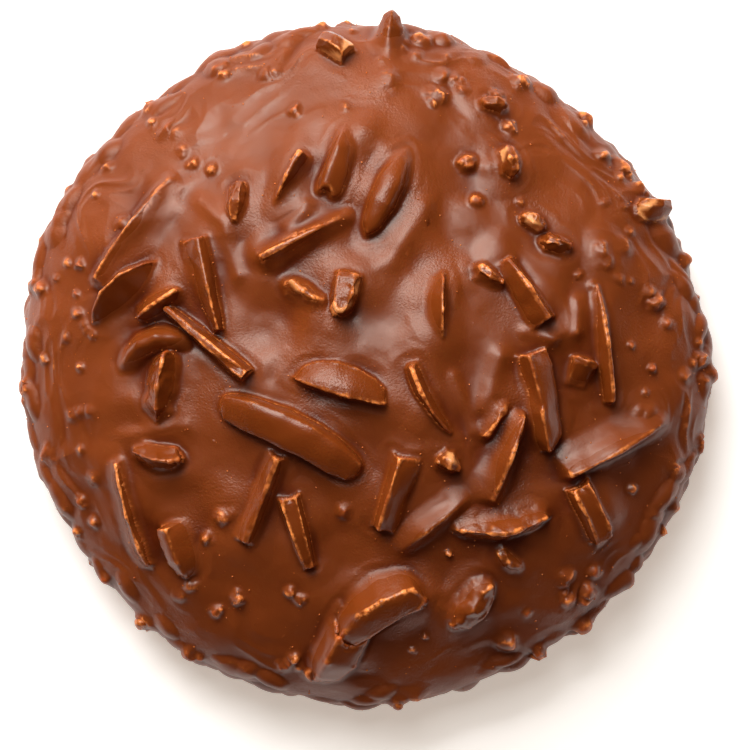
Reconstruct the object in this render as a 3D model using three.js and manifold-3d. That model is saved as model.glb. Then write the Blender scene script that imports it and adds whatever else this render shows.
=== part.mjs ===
// A round dome-shaped lebkuchen biscuit covered in milk chocolate, with slivered almonds set into its
// top. Millimetres, +Z up, the origin on the surface it rests on, below the middle of the biscuit.
import * as THREE from "three";
import { mergeVertices } from "three/addons/utils/BufferGeometryUtils.js";
import Module from "manifold-3d";

const wasm = await Module();
wasm.setup();

// Driving dimensions of the coated biscuit.
const RADIUS = 35.9; // mean radius at the belly
const HEIGHT = 16.5; // top of the dome, without the almonds
const BELLY = 4.6; // level of the widest place
const BASE_INSET = 2.4; // how far the flat underside stays inside the belly
const DOME_POWER = 2; // how flat the crown is
const DOME_ROOT = 1.6; // how upright the dome's edge is
const AROUND = 48; // facets round the biscuit
const DOME_STEPS = 11;
const FOOT_STEPS = 3;

// Slow waves of the outline, each as [waves round the rim, depth, turn in radians].
const RIM_WAVES = [
  [1, 0.46, -2.6],
  [2, 0.3, 1.1],
  [3, 0.2, 0.4],
  [4, 0.25, 0.45],
  [5, 0.16, -1.1],
  [9, 0.12, 1.1],
];
// Slow swells of the coat, each as [waves per mm along x, waves per mm along y, turn, depth].
const SWELLS = [
  [0.21, 0.09, 0.6, 0.2],
  [-0.1, 0.24, 2.1, 0.18],
  [0.33, -0.28, 4.0, 0.1],
];

// Almond pieces: how far they reach under the coat and how much room the coat leaves round them.
const BURIED = 1.3;
const CLEARANCE = 0.3;
const CORNERS = 6; // corners of its section
const MILK_CHOCOLATE = 0x824630;
const COATED_ALMOND = 0x8f5034;

function outline(angle) {
  return RIM_WAVES.reduce((r, [waves, depth, turn]) => r + depth * Math.cos(waves * angle + turn), RADIUS);
}

function swell(x, y) {
  return SWELLS.reduce((z, [kx, ky, turn, depth]) => z + depth * Math.sin(kx * x + ky * y + turn), 0);
}

// Height of the plain dome at radius r of a biscuit with the mean outline.
function domeHeight(r) {
  const share = Math.min(1, r / RADIUS);
  return BELLY + (HEIGHT - BELLY) * (1 - share ** DOME_POWER) ** (1 / DOME_ROOT);
}

// The swells fade out towards the belly, so the outline keeps its own waves.
function swellShare(level) {
  return THREE.MathUtils.smoothstep(level, BELLY, HEIGHT - 2);
}

// Height of the coat above the point (x, y).
function coatHeight(x, y) {
  const level = domeHeight((Math.hypot(x, y) * RADIUS) / outline(Math.atan2(y, x)));
  return level + swell(x, y) * swellShare(level);
}

function coatNormal(x, y) {
  const step = 0.5;
  const alongX = (coatHeight(x + step, y) - coatHeight(x - step, y)) / (2 * step);
  const alongY = (coatHeight(x, y + step) - coatHeight(x, y - step)) / (2 * step);
  return new THREE.Vector3(-alongX, -alongY, 1).normalize();
}

// The biscuit's half section from the middle of its flat underside, round the belly, up to the crown.
function halfSection() {
  const points = [new THREE.Vector2(0, 0)];
  for (let i = 0; i <= FOOT_STEPS; i++) {
    const turn = (i / FOOT_STEPS) * (Math.PI / 2);
    points.push(new THREE.Vector2(RADIUS - BASE_INSET * (1 - Math.sin(turn)), BELLY * (1 - Math.cos(turn))));
  }
  for (let i = 1; i < DOME_STEPS; i++) {
    const r = RADIUS * Math.cos((i / DOME_STEPS) * (Math.PI / 2));
    points.push(new THREE.Vector2(r, domeHeight(r)));
  }
  points.push(new THREE.Vector2(0, HEIGHT));
  return points;
}

function biscuitGeometry() {
  const geometry = new THREE.LatheGeometry(halfSection(), AROUND).rotateX(Math.PI / 2);
  const position = geometry.getAttribute("position");
  for (let i = 0; i < position.count; i++) {
    const level = position.getZ(i);
    const grow = outline(Math.atan2(position.getY(i), position.getX(i))) / RADIUS;
    const x = position.getX(i) * grow;
    const y = position.getY(i) * grow;
    position.setXYZ(i, x, y, level + swell(x, y) * swellShare(level));
  }
  return geometry;
}

// An almond piece runs from `from` to `to` along its ridge, as seen from above. `left` and `right` are
// the widths beside the ridge, looking along the piece; `lift` is the ridge's height over the coat.
const ALMOND_DEFAULTS = {
  left: 1,
  right: 1,
  lift: 2,
  crest: 0.5, // flat width of the ridge
  leftRise: 0.3, // height of the outer edges, as a share of the ridge's
  rightRise: 0.3,
  bend: 0, // sideways bow of the ridge at mid length, to the left if positive
  wide: [1, 1], // width at each end, as a share
  rise: [0.7, 0.7], // ridge height at each end, as a share
  taper: [0.12, 0.12], // stretch over which each end narrows
  tip: [0.6, 0.6], // width left at each very end
  dish: -0.25, // how deep the middle of each end is sunk
  rough: 0, // unevenness of the corners
  stations: 5, // lengthwise steps
};

// Share of the full width at the place `s` (0 to 1) along a piece: narrowed at both ends in an arc.
function taperAt(s, taper, tip) {
  const near = Math.min(1, s / taper[0]);
  const far = Math.min(1, (1 - s) / taper[1]);
  const start = tip[0] + (1 - tip[0]) * Math.sqrt(1 - (1 - near) ** 2);
  const end = tip[1] + (1 - tip[1]) * Math.sqrt(1 - (1 - far) ** 2);
  return Math.min(start, end);
}

// A repeatable unevenness between -1 and 1 for one corner of a piece.
function uneven(seed) {
  const wave = Math.sin(seed * 12.9898) * 43758.5453;
  return 2 * (wave - Math.floor(wave)) - 1;
}

// The closed body of an almond piece, made larger all round by `room`.
function almondGeometry(spec, room) {
  const s = { ...ALMOND_DEFAULTS, ...spec };
  const foot = ([x, y], rise) => {
    const lean = coatNormal(x, y).multiplyScalar(s.lift * rise);
    return new THREE.Vector3(x - lean.x, y - lean.y, coatHeight(x - lean.x, y - lean.y));
  };
  const start = s.start ?? foot(s.from, s.rise[0]);
  const end = s.end ?? foot(s.to, s.rise[1]);
  const along = end.clone().sub(start);
  const length = along.length();
  along.normalize();
  const middle = start.clone().lerp(end, 0.5);
  const up = s.up ? s.up.clone() : coatNormal(middle.x, middle.y);
  up.addScaledVector(along, -up.dot(along)).normalize();
  const left = up.clone().cross(along);
  // A straight piece on a dome dips below it at mid length, so its section is raised by that much.
  const bulge = s.start ? 0 : coatHeight(middle.x, middle.y) - middle.z;

  const geometry = new THREE.CylinderGeometry(1, 1, 1, CORNERS, s.stations);
  const position = geometry.getAttribute("position");
  for (let i = 0; i < position.count; i++) {
    const step = Math.round((0.5 - position.getY(i)) * s.stations);
    const share = (1 - Math.cos((step / s.stations) * Math.PI)) / 2;
    const arc = 4 * share * (1 - share);
    const width = taperAt(share, s.taper, s.tip) * THREE.MathUtils.lerp(s.wide[0], s.wide[1], share);
    const endRise = share < 0.5 ? s.rise[0] : s.rise[1];
    const ridge = s.lift * (endRise + (1 - endRise) * arc);
    const section = [
      [s.crest / 2, ridge],
      [s.left, ridge * s.leftRise],
      [s.left * 0.85, -BURIED],
      [-s.right * 0.85, -BURIED],
      [-s.right, ridge * s.rightRise],
      [-s.crest / 2, ridge],
    ];
    const inMiddle = Math.hypot(position.getX(i), position.getZ(i)) < 0.5;
    const turn = Math.atan2(position.getX(i), position.getZ(i)) / (2 * Math.PI);
    const corner = Math.round((turn + 1) * CORNERS) % CORNERS;
    const [across, height] = inMiddle ? [0, (ridge - BURIED) / 2] : section[corner];
    const seed = s.number * 31 + step * CORNERS + corner;
    const shake = inMiddle ? 0 : s.rough;
    const sideways = across * width + Math.sign(across) * room + s.bend * arc + shake * uneven(seed);
    const outward = inMiddle ? 0 : Math.sign(height) * room;
    const upward = height + bulge * arc + outward + (height > 0 ? shake * uneven(seed + 0.5) : 0);
    const forward = share * length + (share - 0.5) * 2 * (inMiddle ? room - s.dish : room);
    const point = start
      .clone()
      .addScaledVector(along, forward)
      .addScaledVector(left, sideways)
      .addScaledVector(up, upward);
    position.setXYZ(i, point.x, point.y, point.z);
  }
  return geometry;
}

// Half-moon and leaf-shaped slices narrow over their whole length, sticks only at their very ends.
const POINTED = { taper: [0.5, 0.5], tip: [0.12, 0.12], rise: [0.35, 0.35] };
const STICK = { stations: 4, taper: [0.08, 0.08], tip: [0.9, 0.9], rise: [0.8, 0.8], dish: 0.6 };
const BLADE = { stations: 4, taper: [0.2, 0.1], tip: [0.4, 0.8], rise: [0.35, 0.75], crest: 0.55 };
const CHUNK = {
  stations: 4, taper: [0.25, 0.25], tip: [0.45, 0.45], rise: [0.6, 0.6], rough: 0.22, crest: 0.7,
};

const ALMONDS = [
  {
    ...BLADE, number: 1, name: "blade", from: [-20.6, 19.7], to: [-28.8, 9.2],
    left: 3, right: 0.5, leftRise: -0.4, crest: 0.35,
  },
  {
    ...POINTED, number: 2, name: "half_moon", from: [-22.3, 11.1], to: [-28.9, 4.9],
    left: 2.2, right: 1, lift: 3.5, bend: -0.8, leftRise: 0, crest: 0.35,
  },
  { ...CHUNK, number: 3, name: "chunk", from: [-13.3, 19.4], to: [-14, 15.3], left: 1, right: 1.1 },
  {
    ...STICK, number: 4, name: "stick", from: [-17.9, 13.7], to: [-15.5, 3.8],
    left: 1.1, right: 1.9, wide: [1, 0.4], lift: 2.2,
  },
  {
    ...BLADE, number: 5, name: "blade", from: [-9.6, 17], to: [-7, 22.8],
    left: 0.5, right: 1.2, wide: [0.4, 1], lift: 2.3, rise: [0.2, 1], rightRise: 0,
  },
  {
    ...POINTED, number: 6, name: "leaf", from: [-2.2, 25.2], to: [-4.7, 18.2],
    left: 2, right: 0.9, wide: [0.75, 1.05], tip: [0.4, 0.8], taper: [0.3, 0.3], rise: [0.4, 0.7],
    crest: 0.7, leftRise: 0.5, rightRise: 0.2,
  },
  {
    ...POINTED, number: 7, name: "leaf", from: [4.1, 22.6], to: [-0.1, 13.9],
    left: 1.5, right: 1.5, crest: 1.7, leftRise: 0.55, rightRise: 0.5, lift: 2.1,
  },
  {
    ...POINTED, number: 8, name: "half_moon", from: [-11.2, 11.3], to: [-2.2, 15.7],
    left: 1.5, right: 1.6, tip: [0.7, 0.4], taper: [0.12, 0.3], rise: [1, 0.1], lift: 2.2,
    wide: [1, 0.35], leftRise: -0.2, rightRise: 0.1, crest: 0.7,
  },
  {
    ...CHUNK, number: 9, name: "chunk", from: [-8.5, 8.8], to: [-4.7, 6.9],
    left: 0.7, right: 0.9, lift: 1.6,
  },
  {
    ...CHUNK, number: 10, name: "chunk", from: [-2, 9.8], to: [-3, 5.7],
    left: 1.5, right: 1.5, lift: 2.5, rough: 0.1, rise: [0.7, 1], crest: 2.1, leftRise: 0.6,
    rightRise: 0.6, taper: [0.08, 0.5], tip: [0.9, 0.35], wide: [1, 0.8],
  },
  {
    ...POINTED, number: 11, name: "half_moon", from: [-7.6, -1.1], to: [1.8, -3.9],
    left: 3, right: 0.3, lift: 2.2, leftRise: 0.45, rightRise: 0.6, rise: [0.6, 0.6], stations: 7,
  },
  {
    ...POINTED, number: 12, name: "boat", from: [-15, -2.9], to: [-0.6, -10.3],
    left: 0.6, right: 3.4, bend: 1.4, lift: 2.6, rightRise: 0.72, rise: [0.6, 0.6], taper: [0.3, 0.3],
    tip: [0.4, 0.4], stations: 7,
  },
  {
    ...POINTED, number: 13, name: "lens", from: [4.5, 0.2], to: [8.7, -6.9],
    left: 1.1, right: 0.55, bend: -0.6, tip: [0.8, 0.1], taper: [0.1, 0.6], rise: [0.9, 0.3],
    leftRise: 0, crest: 0.3, lift: 2.2,
  },
  {
    ...POINTED, number: 14, name: "crescent", from: [7.9, 9.7], to: [7.8, 3.1],
    left: 0.4, right: 1.6, bend: -0.2, rightRise: 0, crest: 0.3, lift: 2.1,
  },
  {
    ...STICK, number: 15, name: "stick", from: [14.5, 11.4], to: [19.1, 4.8],
    left: 1.1, right: 1.9, wide: [0.65, 1], lift: 2.4, rise: [0.5, 1], rightRise: 0.15,
  },
  {
    ...STICK, number: 16, name: "stick", from: [16.8, 1.4], to: [18.9, -8.9],
    left: 2.6, right: 1.2, wide: [1, 0.75], lift: 2.6, taper: [0.08, 0.2], tip: [0.85, 0.4],
    leftRise: 0.45, rightRise: 0, crest: 0.3,
  },
  {
    ...BLADE, number: 17, name: "blade", from: [24, 8.6], to: [25.7, -3.7],
    left: 0.4, right: 0.8, crest: 0.4,
  },
  {
    ...CHUNK, number: 18, name: "wedge", from: [21.5, 0.9], to: [23.9, 0.2],
    left: 0.4, right: 2.6, lift: 1.7, rightRise: 0, rough: 0.1,
  },
  {
    ...CHUNK, number: 19, name: "chunk", from: [11.4, 10.3], to: [14.1, 8.9],
    left: 0.6, right: 0.7, lift: 1.4,
  },
  {
    ...CHUNK, number: 20, name: "chunk", from: [16.1, 15.9], to: [18.5, 14.8],
    left: 0.8, right: 0.9, lift: 1.7,
  },
  {
    ...CHUNK, number: 21, name: "chunk", from: [18.3, 13.4], to: [21.2, 12.6],
    left: 0.9, right: 1.1, lift: 1.8,
  },
  {
    ...CHUNK, number: 22, name: "chunk", from: [14.8, 23.3], to: [15.2, 20],
    left: 1, right: 1.1, lift: 2.3,
  },
  {
    ...CHUNK, number: 23, name: "chunk", from: [12, 28], to: [14.6, 27.4],
    left: 0.7, right: 0.9, lift: 1.6,
  },
  {
    ...CHUNK, number: 24, name: "chunk", from: [24.2, 13.2], to: [25, 10.5],
    left: 0.7, right: 0.7, lift: 1.1,
  },
  {
    ...POINTED, number: 25, name: "half_moon", from: [-24.1, 5.2], to: [-20, 8],
    left: 1.5, right: 1, lift: 2.3, leftRise: 0, rightRise: 0, crest: 0.3, tip: [0.5, 0.4],
    rise: [0.6, 0.9],
  },
  {
    ...STICK, number: 26, name: "stick", from: [-21.2, 6.3], to: [-12.8, -0.8],
    left: 1.1, right: 0.9, wide: [0.55, 1], lift: 2.4, rise: [0.6, 1], crest: 0.9,
  },
  {
    ...POINTED, number: 27, name: "leaf", from: [-25.7, 0.3], to: [-18.9, 3.1],
    left: 1.3, right: 1.5, bend: 1.2, lift: 2.1, tip: [0.3, 0.5], crest: 0.8,
  },
  {
    ...CHUNK, number: 28, name: "chunk", from: [-21, 1.6], to: [-22.1, -5.4],
    left: 1.3, right: 1.7, lift: 2.8, rise: [0.8, 0.5], crest: 0.2, rough: 0.12, leftRise: 0.1,
    rightRise: 0.2, tip: [0.5, 0.25],
  },
  {
    ...CHUNK, number: 29, name: "chunk", from: [-24.6, -8.6], to: [-19.6, -9.7],
    left: 1.3, right: 1.3, lift: 2.4, crest: 0.3, bend: -0.5, leftRise: 0.3, rightRise: 0,
  },
  {
    ...BLADE, number: 30, name: "blade", from: [-26.3, -10], to: [-23.1, -20.8],
    left: 0.4, right: 1.9, lift: 2.1, rise: [0.7, 0.5], rightRise: -0.2, crest: 0.3, tip: [0.7, 0.6],
  },
  {
    ...POINTED, number: 31, name: "half_moon", from: [-21.2, -16.8], to: [-18.9, -22],
    left: 2.2, right: 1.3, tip: [0.85, 0.3], taper: [0.15, 0.6], rise: [1, 0.5], crest: 0.3,
    leftRise: -0.1, rightRise: 0.7, lift: 2.2,
  },
  {
    ...STICK, number: 32, name: "stick", from: [-9.3, -9.4], to: [-12.9, -18.3],
    left: 0.9, right: 1.1,
  },
  {
    ...STICK, number: 33, name: "stick", from: [-8.2, -13.6], to: [-6, -21],
    left: 1.3, right: 1.3, wide: [1, 0.5], crest: 1.8, rise: [0.9, 0.5],
  },
  {
    ...STICK, number: 34, name: "stick", from: [3.4, -9.3], to: [1.1, -17],
    left: 2.3, right: 0.9, lift: 2.4, leftRise: 0.3, rightRise: 0, crest: 0.3, wide: [1, 0.8],
  },
  {
    ...POINTED, number: 35, name: "leaf", from: [3.6, -18.9], to: [10.2, -13.7],
    left: 2.2, right: 0.7, lift: 1.9, crest: 0.4, tip: [0.5, 0.4], leftRise: -0.3, rightRise: 0,
    taper: [0.25, 0.3],
  },
  {
    ...CHUNK, number: 36, name: "chunk", from: [9.2, -16.8], to: [18.9, -15.7],
    left: 2.4, right: 0.8, lift: 2.3, rise: [0.4, 0.6], leftRise: -0.2, rightRise: 0.3, bend: -0.8,
    crest: 0.4,
  },
  {
    ...CHUNK, number: 37, name: "chunk", from: [13.8, -19.2], to: [15.9, -21.3],
    left: 0.7, right: 0.7, lift: 1.3,
  },
  {
    ...BLADE, number: 38, name: "blade", from: [16.5, -5.1], to: [13, -13.8],
    left: 0.5, right: 2.4, lift: 2.4, rightRise: -0.45, rise: [0.8, 0.5], crest: 0.35,
  },
  {
    ...CHUNK, number: 39, name: "wedge", from: [14.3, -4.1], to: [12.3, -7.2],
    left: 0.5, right: 1.2, lift: 1.5, crest: 0.3, rightRise: -0.2, leftRise: 0,
  },
  {
    ...BLADE, number: 40, name: "blade", from: [21.2, -11.3], to: [31.1, -5.8],
    left: 2.6, right: 0.5, leftRise: -0.4, lift: 2.3, taper: [0.08, 0.25], tip: [0.8, 0.3],
    rise: [0.7, 0.5], crest: 0.35,
  },
  {
    ...STICK, number: 41, name: "stick", from: [22.2, -12.4], to: [25, -18.3],
    left: 1.5, right: 1.3, lift: 2.4, rough: 0.1, crest: 2,
  },
  {
    ...CHUNK, number: 42, name: "chunk", from: [12.9, -22.8], to: [9, -27.3],
    left: 1.6, right: 1.5, lift: 2.3, leftRise: 0.6, rightRise: 0.2, crest: 0.4,
  },
  {
    ...POINTED, number: 43, name: "lens", from: [-2.8, -28.4], to: [4.9, -23.1],
    left: 1.9, right: 2.6, bend: 1.2, lift: 3.2, tip: [0.3, 0.7], taper: [0.5, 0.25], rise: [0.6, 0.7],
    leftRise: 0, rightRise: 0.7, crest: 0.4,
  },
  {
    ...POINTED, number: 44, name: "half_moon", from: [-1.4, -24.6], to: [-5.4, -32.9],
    left: 2.9, right: 1.6, lift: 2.6, leftRise: 0.5, rightRise: 0, crest: 0.35, tip: [0.5, 0.3],
  },
  {
    ...STICK, number: 45, name: "rim_chunk", from: [-5, 35.4], to: [-2.2, 33.4],
    left: 1.4, right: 1, lift: 2.6, crest: 1.2, leftRise: 0.6, rightRise: 0.5,
  },
  {
    ...CHUNK, number: 46, name: "rim_chunk", from: [28.6, 17.2], to: [31.8, 16.3],
    left: 0.9, right: 1.7, lift: 2.2,
  },
  {
    ...CHUNK, number: 47, name: "chunk", from: [7.4, -9.5], to: [9.6, -10.4],
    left: 1.1, right: 1.1, lift: 1.8,
  },
  {
    ...POINTED, number: 48, name: "rim_thorn", start: new THREE.Vector3(2, 32.4, 7.6),
    end: new THREE.Vector3(2.6, 37.5, 7.7), up: new THREE.Vector3(0, 0.2, 1),
    left: 1.5, right: 1.7, lift: 1.7, tip: [1, 0.25], taper: [0.1, 0.9], rise: [0.9, 0.35],
  },
];

function solidOf(geometry) {
  const bare = geometry.clone();
  bare.deleteAttribute("normal");
  bare.deleteAttribute("uv");
  const merged = mergeVertices(bare, 1e-4);
  const vertProperties = new Float32Array(merged.getAttribute("position").array);
  const triVerts = new Uint32Array(merged.getIndex().array);
  return new wasm.Manifold(new wasm.Mesh({ numProp: 3, vertProperties, triVerts }));
}

// The largest connected body of a solid: cutting can leave chips that belong to nothing.
function mainBody(solid) {
  return solid.decompose().reduce((largest, body) => (body.volume() > largest.volume() ? body : largest));
}

function meshOf(solid, name, colour, roughness) {
  const { numProp, vertProperties, triVerts } = solid.getMesh();
  const geometry = new THREE.BufferGeometry();
  geometry.setAttribute("position", new THREE.BufferAttribute(new Float32Array(vertProperties), numProp));
  geometry.setIndex(new THREE.BufferAttribute(new Uint32Array(triVerts), 1));
  geometry.computeVertexNormals();
  const material = new THREE.MeshStandardMaterial({ color: colour, roughness, metalness: 0 });
  const mesh = new THREE.Mesh(geometry, material);
  mesh.name = name;
  return mesh;
}

// Each almond piece gives way to those set before it, and the coat gives way to them all.
const lebkuchen = new THREE.Group();
const pockets = [];
for (const spec of ALMONDS) {
  let almond = solidOf(almondGeometry(spec, 0));
  for (const pocket of pockets) {
    almond = almond.subtract(pocket);
  }
  pockets.push(solidOf(almondGeometry(spec, CLEARANCE)));
  const name = `almond_${spec.name}_${String(spec.number).padStart(2, "0")}`;
  lebkuchen.add(meshOf(mainBody(almond), name, COATED_ALMOND, 0.35));
}
let biscuit = solidOf(biscuitGeometry());
for (const pocket of pockets) {
  biscuit = biscuit.subtract(pocket);
}
lebkuchen.add(meshOf(mainBody(biscuit), "coated_biscuit", MILK_CHOCOLATE, 0.35));

export default lebkuchen;
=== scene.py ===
"""The looks of a lebkuchen with slivered almonds under milk chocolate, built round its CAD frame.

Lengths are in millimetres while shapes are worked out, and in metres once they are Blender meshes.
"""

import itertools
import math

import bmesh
import bpy
import numpy as np
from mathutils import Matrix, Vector
from mathutils.bvhtree import BVHTree


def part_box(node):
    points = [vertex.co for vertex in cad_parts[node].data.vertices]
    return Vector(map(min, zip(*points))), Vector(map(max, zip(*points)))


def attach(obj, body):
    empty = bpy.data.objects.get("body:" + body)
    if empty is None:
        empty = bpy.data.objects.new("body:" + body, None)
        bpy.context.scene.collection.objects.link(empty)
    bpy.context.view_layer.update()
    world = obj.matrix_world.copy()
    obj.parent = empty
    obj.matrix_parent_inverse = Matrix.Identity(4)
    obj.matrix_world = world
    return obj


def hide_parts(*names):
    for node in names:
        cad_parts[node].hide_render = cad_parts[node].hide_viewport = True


MM = 0.001
SEED = 7

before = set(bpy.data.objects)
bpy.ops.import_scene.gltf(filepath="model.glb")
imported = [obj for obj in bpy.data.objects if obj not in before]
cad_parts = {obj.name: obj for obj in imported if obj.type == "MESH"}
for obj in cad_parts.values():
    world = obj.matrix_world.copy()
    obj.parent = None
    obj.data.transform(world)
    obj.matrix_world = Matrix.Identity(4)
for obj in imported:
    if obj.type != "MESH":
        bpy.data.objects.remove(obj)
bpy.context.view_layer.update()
coat_low, coat_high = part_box("coated_biscuit")

# The coat's shape, as the solid has it. The box of the solid gives its size. The height of the
# dome over the widest line goes with (1 - (r / RADIUS) ** DOME_POWER) ** (1 / DOME_ROOT).
RADIUS = 0.2465 * (coat_high.x - coat_low.x + coat_high.y - coat_low.y) / MM
HEIGHT = 0.98 * coat_high.z / MM
BELLY = 0.307 * HEIGHT
BASE_INSET = 0.067 * RADIUS
DOME_POWER = 2
DOME_ROOT = 1.6
# Waves of the outline: how many go round, the depth of each, and its turn in radians.
RIM_WAVES = (
    (1, 0.46, -2.6), (2, 0.3, 1.1), (3, 0.2, 0.4), (4, 0.25, 0.45), (5, 0.16, -1.1),
    (9, 0.12, 1.1),
)
# Waves of the dome: radians for each millimetre of x and of y, the turn, and the depth of each.
SWELLS = (
    (0.21, 0.09, 0.6, 0.2), (-0.1, 0.24, 2.1, 0.18), (0.33, -0.28, 4.0, 0.1),
)

SWELLS_FADE = 2  # how far below the crown's height the waves of the dome reach their full depth
DOME_STEPS, BELLY_STEPS = 900, 120

FULL_GRID = 600
GRID = FULL_GRID  # points along each side of the coat's grid
COAT_TRIANGLES = 195_000
ALMOND_VOXEL = 0.12
ALMOND_TRIANGLES = 42  # for each square millimetre
REACH = 3.0  # how far from an almond the coat is drawn to it
# How high up a piece the coat may go: on an almond, for each millimetre that it is drawn up.
COVER_OF_ALMOND = 1.6
COVER_OF_CRUMB = {"nut_crumbs": 0.45, "covered_crumbs": 3.0}

# Small nut crumbs that show on the coat, by their width: x and y of each.
CRUMBS = {
    2.1: (
        (-35.7, -2.2), (-23.9, -27.5), (22.6, -27.3), (33.8, 11.3), (36.2, -0.9), (35.0, -8.1),
        (23.0, 26.1),
    ),
    1.8: (
        (16.2, 29.9), (26.7, 20.9), (3.0, -35.0), (-18.6, -30.0), (-20.9, 24.8), (10.3, 21.3),
        (20.7, -22.0),
    ),
    1.5: (
        (-34.2, 13.5), (-35.5, 8.4), (-34.4, 8.3), (32.8, -15.0), (27.5, -22.6), (-14.8, -15.7),
        (-13.6, -24.1), (6.8, 28.7), (3.5, 34.0), (-2.5, -14.7),
    ),
    1.2: (
        (-30.5, -17.4), (-27.5, -22.2), (30.9, -17.1), (32.1, -10.4), (-4.7, 36.1), (-25.4, 15.0),
        (-10.6, 30.7), (-7.4, 27.0), (11.3, 17.5), (-28.8, -4.6), (-16.8, -17.7), (-15.9, -25.5),
        (-7.2, -24.1), (23.8, -21.6), (-28.6, -11.5), (26.2, 9.1),
    ),
    0.95: (
        (-22.6, 25.7), (-27.3, 21.0), (-2.3, 27.0), (-28.7, -16.2), (-30.3, 5.6), (-8.2, -31.1),
        (-19.3, 22.6), (-18.2, 21.3), (-16.1, 20.7), (31.3, 4.6), (-34.0, 0.9), (-36.0, 2.7),
        (34.8, 2.6), (34.1, -9.2), (9.0, 30.1), (5.1, 32.6), (-15.2, 30.7), (-30.0, -8.6),
        (-30.1, -4.6), (-8.0, -23.4),
    ),
    0.65: (
        (8.3, 32.6), (-31.5, 3.1), (-30.5, 7.8), (-32.7, 9.4), (-31.5, 10.9), (16.7, -25.8),
        (8.4, -19.4), (6.0, -28.2), (4.7, -29.6), (24.9, 17.3), (16.0, 17.3), (31.9, 12.9),
        (27.4, 9.0), (-29.5, 4.6), (-29.2, 3.9), (-28.7, 3.4), (22.0, 9.6), (23.4, 8.6),
        (27.6, 2.4), (28.9, -2.6),
    ),
}
WALL_CRUMBS = 90
BARED_SHARE = 0.12  # how many of the crumbs the coat leaves bare
SPECKS = 1300
SPECKS_FOOT = 1.5  # no specks below this height

# Broad soft mounds in the coat: x, y, radius and height of each.
MOUNDS = (
    (-15.6, 15.2, 4.6, 0.35), (-27.2, -3.2, 4.6, 0.45), (-11.5, 9.8, 4.2, 0.4),
    (3.0, 24.6, 5.0, 0.35), (10.4, 15.6, 3.4, 0.4), (13.4, 12.0, 3.0, 0.35), (6.6, 2.6, 4.2, 0.45),
    (15.6, -3.2, 3.4, 0.4), (17.4, -6.6, 3.0, 0.3), (25.6, -8.4, 3.0, 0.35),
    (29.6, -5.4, 2.6, 0.35), (-7.0, 17.4, 4.0, 0.35), (20.2, 3.0, 3.0, 0.35),
    (-2.0, -10.8, 4.0, 0.3), (-21.6, -13.0, 4.2, 0.35), (17.0, 22.0, 4.4, 0.35),
    (-2.6, 9.4, 3.6, 0.35), (4.4, -24.4, 4.4, 0.3), (-10.6, -30.0, 3.6, 0.3),
    (26.0, 13.6, 3.8, 0.35),
)
# Raised folds in the coat, each from one point to another: x, y, x, y, width and height.
FOLDS = (
    (14.6, 21.6, 12.4, 20.9, 0.9, 0.25), (16.4, 3.7, 19.0, 2.9, 0.8, 0.3),
    (19.0, 2.9, 21.4, 3.6, 0.8, 0.3), (21.6, 3.6, 21.7, 6.9, 0.7, 0.35),
    (13.7, 1.0, 12.1, -4.2, 1.1, 0.5), (2.2, 33.0, -0.5, 25.0, 2.0, 0.45),
    (2.2, 34.5, -6.0, 32.5, 1.1, 0.4), (2.6, 34.0, 7.5, 31.0, 1.1, 0.4),
    (-14.5, 13.5, -13.4, 9.6, 0.9, 0.4), (-17.2, 17.4, -14.9, 14.8, 1.0, 0.35),
    (-25.5, -7.0, -19.0, -6.2, 0.8, 0.25), (-8.0, 14.5, -6.5, 16.5, 0.9, 0.35),
    (6.0, 16.5, 2.5, 11.0, 1.2, 0.4), (9.0, -1.0, 11.0, -6.5, 0.7, 0.3),
)

# Hollows in the almond pieces, each from one point to another: x, y, x, y, width and depth. A
# swelling has a depth below zero.
GROOVES = (
    (-12.2, -5.0, -3.9, -9.3, 1.5, -0.4), (-16.4, 1.2, -13.2, -0.3, 0.4, 0.25),
    (15.9, 0.6, 17.7, -3.9, 0.5, 0.45), (-8.1, -13.6, -6.2, -20.0, 0.6, 0.3),
    (22.3, -12.9, 24.5, -17.2, 0.5, 0.45), (4.2, -9.3, 4.2, -9.3, 0.8, 0.3),
    (-4.4, 18.1, -4.4, 18.1, 0.45, 1.6), (16.6, 6.5, 16.6, 6.5, 0.5, 0.4),
    (-10.9, -11.9, -12.3, -16.8, 0.35, 0.2), (-6.9, 20.8, -6.9, 20.8, 0.5, 0.6),
    (-3.4, -27.6, -0.5, -26.0, 0.5, 0.25), (-6.0, 0.2, -0.6, -1.6, 1.4, -0.2),
    (17.9, 1.5, 17.9, 1.5, 0.8, 0.35), (-18.3, 13.9, -18.3, 13.9, 0.8, 0.25),
)


# ---------------------------------------------------------------- noise


def cell_value(cell, seed):
    """A repeatable number between -1 and 1 for each whole-numbered cell."""
    x, y, z = (cell[..., axis] for axis in range(3))
    mixed = x * 73856093 ^ y * 19349663 ^ z * 83492791 ^ seed * 2654435761
    mixed = (mixed ^ (mixed >> 13)) * 1274126177 & 0xFFFFFFFF
    return ((mixed ^ (mixed >> 16)) & 0xFFFF) / 32767.5 - 1


def noise(points, size, seed):
    """Smooth noise between -1 and 1 whose lumps are about `size` across."""
    place = points / size
    cell = np.floor(place).astype(np.int64)
    share = place - cell
    share = share * share * share * (share * (share * 6 - 15) + 10)
    total = np.zeros(len(points))
    for corner in itertools.product((0, 1), repeat=3):
        weight = np.prod(np.where(corner, share, 1 - share), axis=1)
        total += weight * cell_value(cell + np.array(corner), seed + SEED)
    return total


def layered(points, *layers):
    """The sum of several noises, from the depth, size and seed of each."""
    return sum(depth * noise(points, size, seed) for depth, size, seed in layers)


def ridged(points, size, seed):
    """Noise between -1 and 1 with narrow crests and broad hollows."""
    return 1 - 2 * np.abs(noise(points, size, seed)) ** 0.8


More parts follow.
